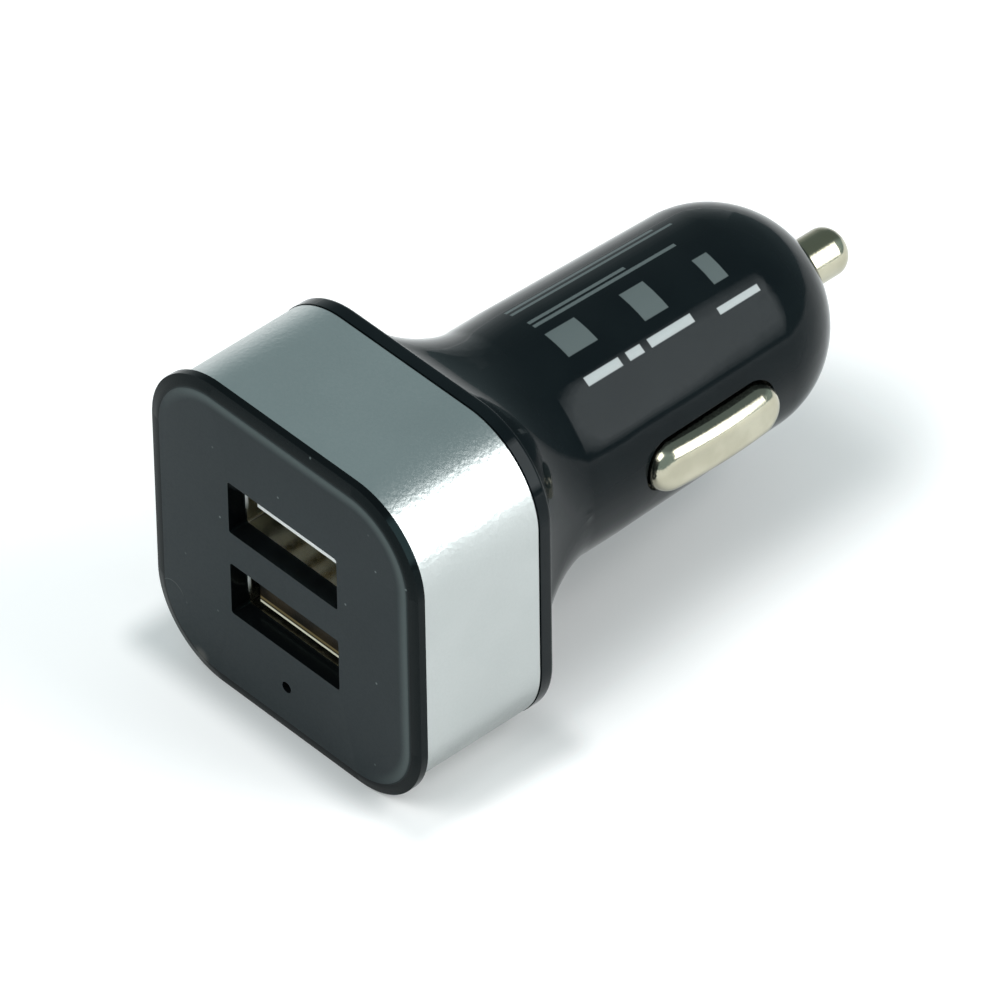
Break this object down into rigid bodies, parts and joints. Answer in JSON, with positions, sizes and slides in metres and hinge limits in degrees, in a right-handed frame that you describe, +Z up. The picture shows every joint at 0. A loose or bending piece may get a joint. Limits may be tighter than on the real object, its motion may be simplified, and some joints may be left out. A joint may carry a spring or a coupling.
{
  "type": "car usb charger plug",
  "caption": "Car socket plug with a squared metal-banded head, stacked USB-A ports on its face, a flared neck, a tapered barrel, sprung side contacts and a sprung tip.",
  "frame": {"origin": "on the plug axis, at the shoulder where the straight land of the plug begins behind the flared neck", "axes": "+Y along the plug axis from the USB face to the tip, +Z up across the stacked ports, +X to the right seen from the USB face"},
  "size_m": [0.0314, 0.0611, 0.0314],
  "materials": {
    "black_gloss": "polished moulding",
    "charcoal_satin": "satin moulding",
    "satin_aluminium": "fine blasted and anodised",
    "nickel": "bright nickel plate",
    "socket_steel": "tinned sheet",
    "socket_ivory": "moulded",
    "socket_plastic": "moulded",
    "contact_gold": "flash plated",
    "spring_steel": "drawn wire and strip",
    "board_green": "lacquered laminate",
    "lamp_blue": "clear tinted resin",
    "can_aluminium": "bright can",
    "black_plastic": "moulded",
    "ferrite": "sintered",
    "copper": "enamelled wire",
    "tin": "tinned"
  },
  "bodies": {
    "charger": {"plug_body": "black_gloss", "head_band": "satin_aluminium", "front_cover": "charcoal_satin", "circuit_board": "board_green", "usb_shell_upper": "socket_steel", "usb_shell_lower": "socket_steel", "usb_insulator_upper": "socket_ivory", "usb_insulator_lower": "socket_plastic", "usb_contacts_upper": "contact_gold", "usb_contacts_lower": "contact_gold", "tip_spring": "spring_steel", "tip_terminal": "tin", "ground_spring_right": "spring_steel", "ground_spring_left": "spring_steel", "indicator_lamp": "lamp_blue", "lamp_leads": "tin", "input_capacitor": "can_aluminium", "input_capacitor_base": "black_plastic", "output_capacitor": "can_aluminium", "output_capacitor_base": "black_plastic", "inductor_core": "ferrite", "inductor_winding": "copper", "regulator_chip": "black_plastic", "regulator_leads": "tin", "rectifier_diode": "black_plastic", "chip_resistors": "black_plastic"},
    "tip": {"centre_tip": "nickel"},
    "right_contact": {"side_contact_right": "nickel"},
    "left_contact": {"side_contact_left": "nickel"}
  },
  "joints": [
    {"name": "tip_press", "type": "slide", "parent": "charger", "child": "tip", "axis": [0, -1, 0], "range_m": [0, 0.004], "stiffness_N_per_m": 800, "springref_m": -0.002, "deforming": ["tip_spring"]},
    {"name": "right_contact_press", "type": "slide", "parent": "charger", "child": "right_contact", "axis": [-1, 0, 0], "range_m": [0, 0.0016], "stiffness_N_per_m": 1500, "springref_m": -0.001, "deforming": ["ground_spring_right"]},
    {"name": "left_contact_press", "type": "slide", "parent": "charger", "child": "left_contact", "axis": [1, 0, 0], "range_m": [0, 0.0016], "stiffness_N_per_m": 1500, "springref_m": -0.001, "deforming": ["ground_spring_left"]}
  ]
}
